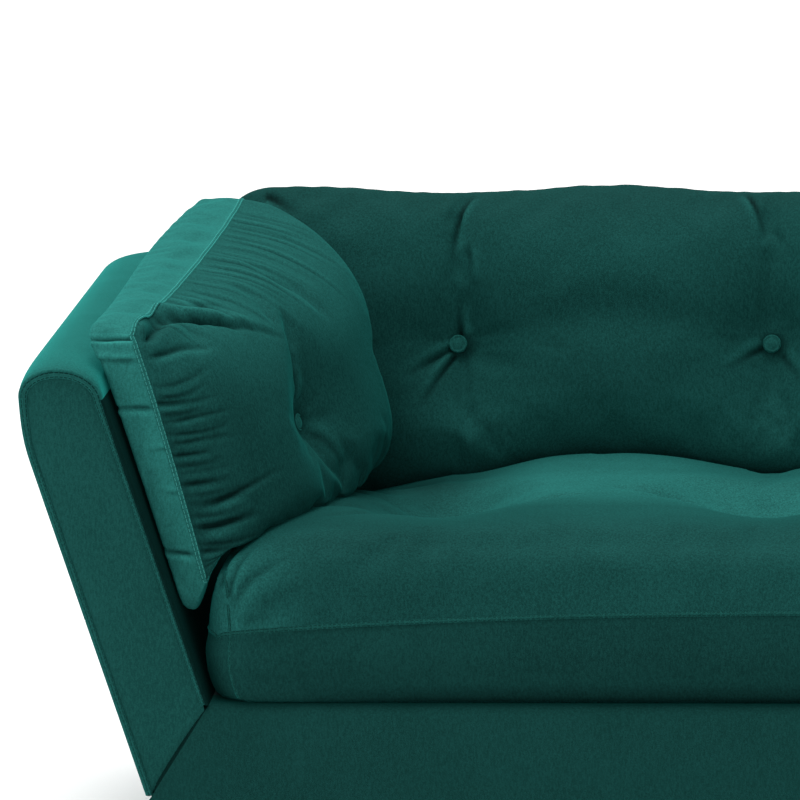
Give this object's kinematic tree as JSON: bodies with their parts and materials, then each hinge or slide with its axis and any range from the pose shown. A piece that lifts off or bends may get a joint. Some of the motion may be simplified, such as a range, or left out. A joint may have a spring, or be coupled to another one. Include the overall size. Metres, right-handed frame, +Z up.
{
  "type": "velvet sofa",
  "caption": "Long upholstered sofa with leaning padded arms and back, tufted loose seat, back and arm cushions, and turned wooden legs.",
  "frame": {"origin": "on the floor under the middle of the sofa", "axes": "+Z up, front towards -Y, the sitter's left arm at +X"},
  "size_m": [2.16, 0.89, 0.7626],
  "materials": {
    "frame_velvet": "dark green velvet over padding",
    "cushion_velvet": "dark green velvet over a soft filling",
    "button_velvet": "velvet-covered button",
    "frame_timber": "sawn hardwood, unfinished",
    "spring_steel": "drawn spring wire",
    "deck_cloth": "black deck cloth over felt",
    "dust_cloth": "black non-woven cloth",
    "leg_wood": "dark stain, satin",
    "glide_plastic": "moulded, matt"
  },
  "bodies": {
    "frame": {"arm_cover_left": "frame_velvet", "arm_cover_right": "frame_velvet", "arm_front_panel_left": "frame_velvet", "arm_front_panel_right": "frame_velvet", "arm_post_front_left": "frame_timber", "arm_post_front_right": "frame_timber", "arm_post_rear_left": "frame_timber", "arm_post_rear_right": "frame_timber", "arm_top_rail_left": "frame_timber", "arm_top_rail_right": "frame_timber", "back_cover": "frame_velvet", "back_post_centre": "frame_timber", "back_post_left": "frame_timber", "back_post_right": "frame_timber", "back_top_rail": "frame_timber", "corner_block_front_left": "frame_timber", "corner_block_front_right": "frame_timber", "corner_block_rear_left": "frame_timber", "corner_block_rear_right": "frame_timber", "dust_cover": "dust_cloth", "front_rail": "frame_timber", "front_rail_panel": "frame_velvet", "glide_front_left": "glide_plastic", "glide_front_right": "glide_plastic", "glide_rear_left": "glide_plastic", "glide_rear_right": "glide_plastic", "leg_front_left": "leg_wood", "leg_front_right": "leg_wood", "leg_rear_left": "leg_wood", "leg_rear_right": "leg_wood", "rear_rail": "frame_timber", "seat_deck": "deck_cloth", "side_rail_left": "frame_timber", "side_rail_right": "frame_timber", "spring_1": "spring_steel", "spring_2": "spring_steel", "spring_3": "spring_steel", "spring_4": "spring_steel", "spring_5": "spring_steel", "spring_6": "spring_steel", "spring_7": "spring_steel", "spring_8": "spring_steel", "stretcher_left": "frame_timber", "stretcher_right": "frame_timber"},
    "seat_cushion": {"seat_button_1": "button_velvet", "seat_button_2": "button_velvet", "seat_button_3": "button_velvet", "seat_button_4": "button_velvet", "seat_cushion": "cushion_velvet"},
    "back_cushion": {"back_button_1": "button_velvet", "back_button_2": "button_velvet", "back_button_3": "button_velvet", "back_button_4": "button_velvet", "back_cushion": "cushion_velvet"},
    "arm_cushion_left": {"arm_button_left": "button_velvet", "arm_cushion_left": "cushion_velvet"},
    "arm_cushion_right": {"arm_button_right": "button_velvet", "arm_cushion_right": "cushion_velvet"}
  },
  "joints": [
    {"name": "seat_cushion_lift", "type": "slide", "parent": "frame", "child": "seat_cushion", "axis": [0, 0, 1], "range_m": [0, 0.4]},
    {"name": "back_cushion_lift", "type": "slide", "parent": "seat_cushion", "child": "back_cushion", "axis": [0, 0.304, 0.9527], "range_m": [0, 0.4]},
    {"name": "arm_cushion_left_lift", "type": "slide", "parent": "seat_cushion", "child": "arm_cushion_left", "axis": [0, 0, 1], "range_m": [0, 0.4]},
    {"name": "arm_cushion_right_lift", "type": "slide", "parent": "seat_cushion", "child": "arm_cushion_right", "axis": [0, 0, 1], "range_m": [0, 0.4]}
  ]
}
